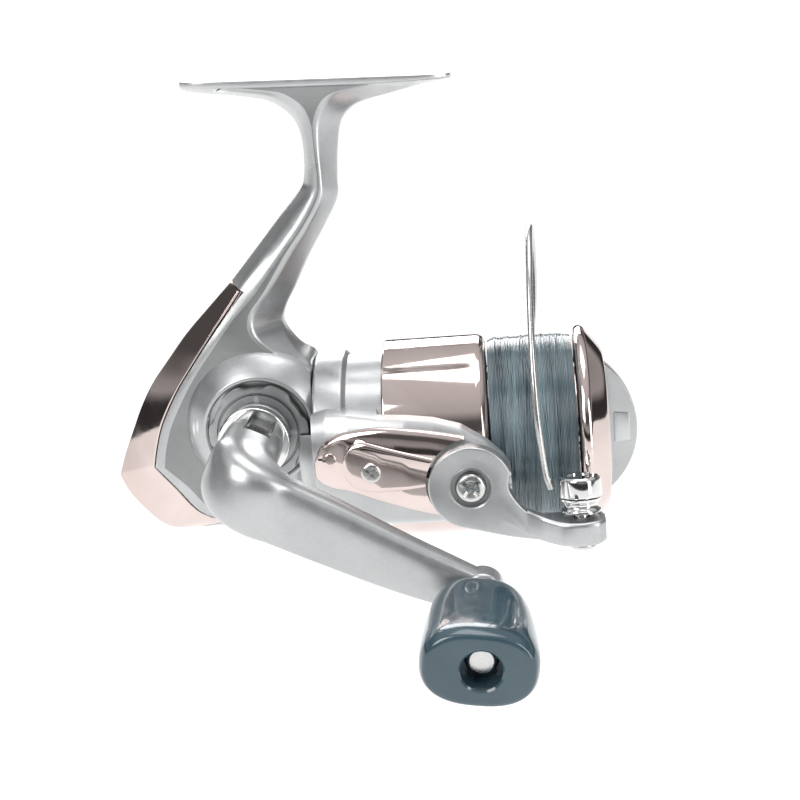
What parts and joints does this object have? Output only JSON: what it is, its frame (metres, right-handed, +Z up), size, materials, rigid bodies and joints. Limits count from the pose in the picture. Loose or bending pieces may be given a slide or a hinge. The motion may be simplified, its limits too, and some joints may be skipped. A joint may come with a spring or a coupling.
{
  "type": "spinning fishing reel",
  "caption": "Open-faced spinning reel with foot and stem, folding crank handle with paddle knob, rotor with flip-over bail, skirted spool of line and front drag knob.",
  "frame": {"origin": "centre of the flat seat face on top of the foot", "axes": "+X forward along the foot towards the spool, +Y away from the crank handle, +Z up out of the seat into the rod; the main shaft rises forward by 2.5 degrees"},
  "size_m": [0.1191, 0.1187, 0.1059],
  "materials": {
    "silver_paint": "satin metallic silver paint",
    "dark_silver": "satin dark silver",
    "bronze_chrome": "mirror rose bronze plating",
    "chrome": "bright plating",
    "steel": "polished stainless steel",
    "zinc": "as-cast zinc alloy",
    "brass": "machined brass",
    "knob_plastic": "glossy blue-grey plastic",
    "nylon_line": "clear blue-grey monofilament",
    "black_plastic": "black acetal",
    "felt": "oiled felt"
  },
  "bodies": {
    "frame": {"housing": "silver_paint", "side_cover": "silver_paint", "rear_cover": "bronze_chrome", "side_cover_screw_1": "steel", "side_cover_screw_2": "steel", "side_cover_screw_3": "steel", "near_bearing": "steel", "far_bearing": "steel", "pinion_bearing": "steel", "one_way_clutch": "black_plastic", "bearing_retainer": "dark_silver", "guide_rail": "steel"},
    "anti_reverse_lever": {"anti_reverse_lever": "black_plastic"},
    "crank": {"drive_shaft": "steel", "drive_gear": "zinc", "step_gear": "zinc", "handle_collar": "silver_paint", "handle_hub": "chrome", "far_cap": "chrome"},
    "handle": {"handle_arm": "silver_paint", "hinge_pin": "steel", "knob_spindle": "steel"},
    "knob": {"knob": "knob_plastic"},
    "oscillation_gear": {"oscillation_gear": "zinc"},
    "rotor": {"rotor": "silver_paint", "pinion": "brass", "rotor_nut": "brass", "near_arm_cover": "bronze_chrome", "far_arm_cover": "bronze_chrome", "near_arm_cover_screw": "steel", "far_arm_cover_screw": "steel", "bail_spring": "steel", "trip_lever": "steel"},
    "bail": {"near_bail_arm": "silver_paint", "far_bail_arm": "silver_paint", "bail_wire": "steel", "roller_cap": "chrome", "roller_screw": "steel", "near_pivot_screw": "steel", "far_pivot_screw": "steel"},
    "line_roller": {"line_roller": "chrome"},
    "main_shaft": {"main_shaft": "steel", "oscillation_slider": "zinc", "spool_seat": "black_plastic", "keyed_washer_1": "steel", "keyed_washer_2": "steel"},
    "spool": {"spool": "bronze_chrome", "line": "nylon_line", "drag_felt_1": "felt", "drag_felt_2": "felt", "eared_washer": "steel", "drag_clip": "steel"},
    "drag_knob": {"drag_knob": "silver_paint", "drag_nut": "brass", "drag_spring": "steel"}
  },
  "joints": [
    {"name": "crank_spin", "type": "hinge", "parent": "frame", "child": "crank", "pos_m": [-0.01511, 0, -0.07583], "axis": [0, 1, 0], "continuous": true},
    {"name": "handle_fold", "type": "hinge", "parent": "crank", "child": "handle", "pos_m": [-0.01511, -0.029, -0.07583], "axis": [0.91, 0, -0.4147], "range_deg": [0, 90]},
    {"name": "knob_spin", "type": "hinge", "parent": "handle", "child": "knob", "pos_m": [0.03403, -0.0554, -0.09823], "axis": [0, 1, 0], "continuous": true},
    {"name": "oscillation_gear_spin", "type": "hinge", "parent": "frame", "child": "oscillation_gear", "pos_m": [-0.02819, 0, -0.0787], "axis": [0, 1, 0], "continuous": true},
    {"name": "rotor_spin", "type": "hinge", "parent": "frame", "child": "rotor", "pos_m": [-0.01479, 0, -0.08312], "axis": [0.999, 0, 0.0436], "continuous": true},
    {"name": "bail_flip", "type": "hinge", "parent": "rotor", "child": "bail", "pos_m": [0.03178, 0, -0.08359], "axis": [0, 1, 0], "range_deg": [0, 110]},
    {"name": "line_roller_spin", "type": "hinge", "parent": "bail", "child": "line_roller", "pos_m": [0.05479, -0.02925, -0.08803], "axis": [0.0432, -0.1392, -0.9893], "continuous": true},
    {"name": "spool_stroke", "type": "slide", "parent": "frame", "child": "main_shaft", "axis": [0.999, 0, 0.0436], "range_m": [0, 0.015]},
    {"name": "spool_drag", "type": "hinge", "parent": "main_shaft", "child": "spool", "pos_m": [0.03516, 0, -0.08094], "axis": [0.999, 0, 0.0436], "continuous": true},
    {"name": "drag_knob_turn", "type": "hinge", "parent": "main_shaft", "child": "drag_knob", "pos_m": [0.06014, 0, -0.07985], "axis": [0.999, 0, 0.0436], "continuous": true},
    {"name": "anti_reverse_switch", "type": "hinge", "parent": "frame", "child": "anti_reverse_lever", "pos_m": [-0.01299, 0, -0.10136], "axis": [-0.0436, 0, 0.999], "range_deg": [0, 30]}
  ],
  "couplings": [
    {"joint": "rotor_spin", "follows": "crank_spin", "ratio": 5.1111},
    {"joint": "oscillation_gear_spin", "follows": "crank_spin", "ratio": -0.42857}
  ]
}
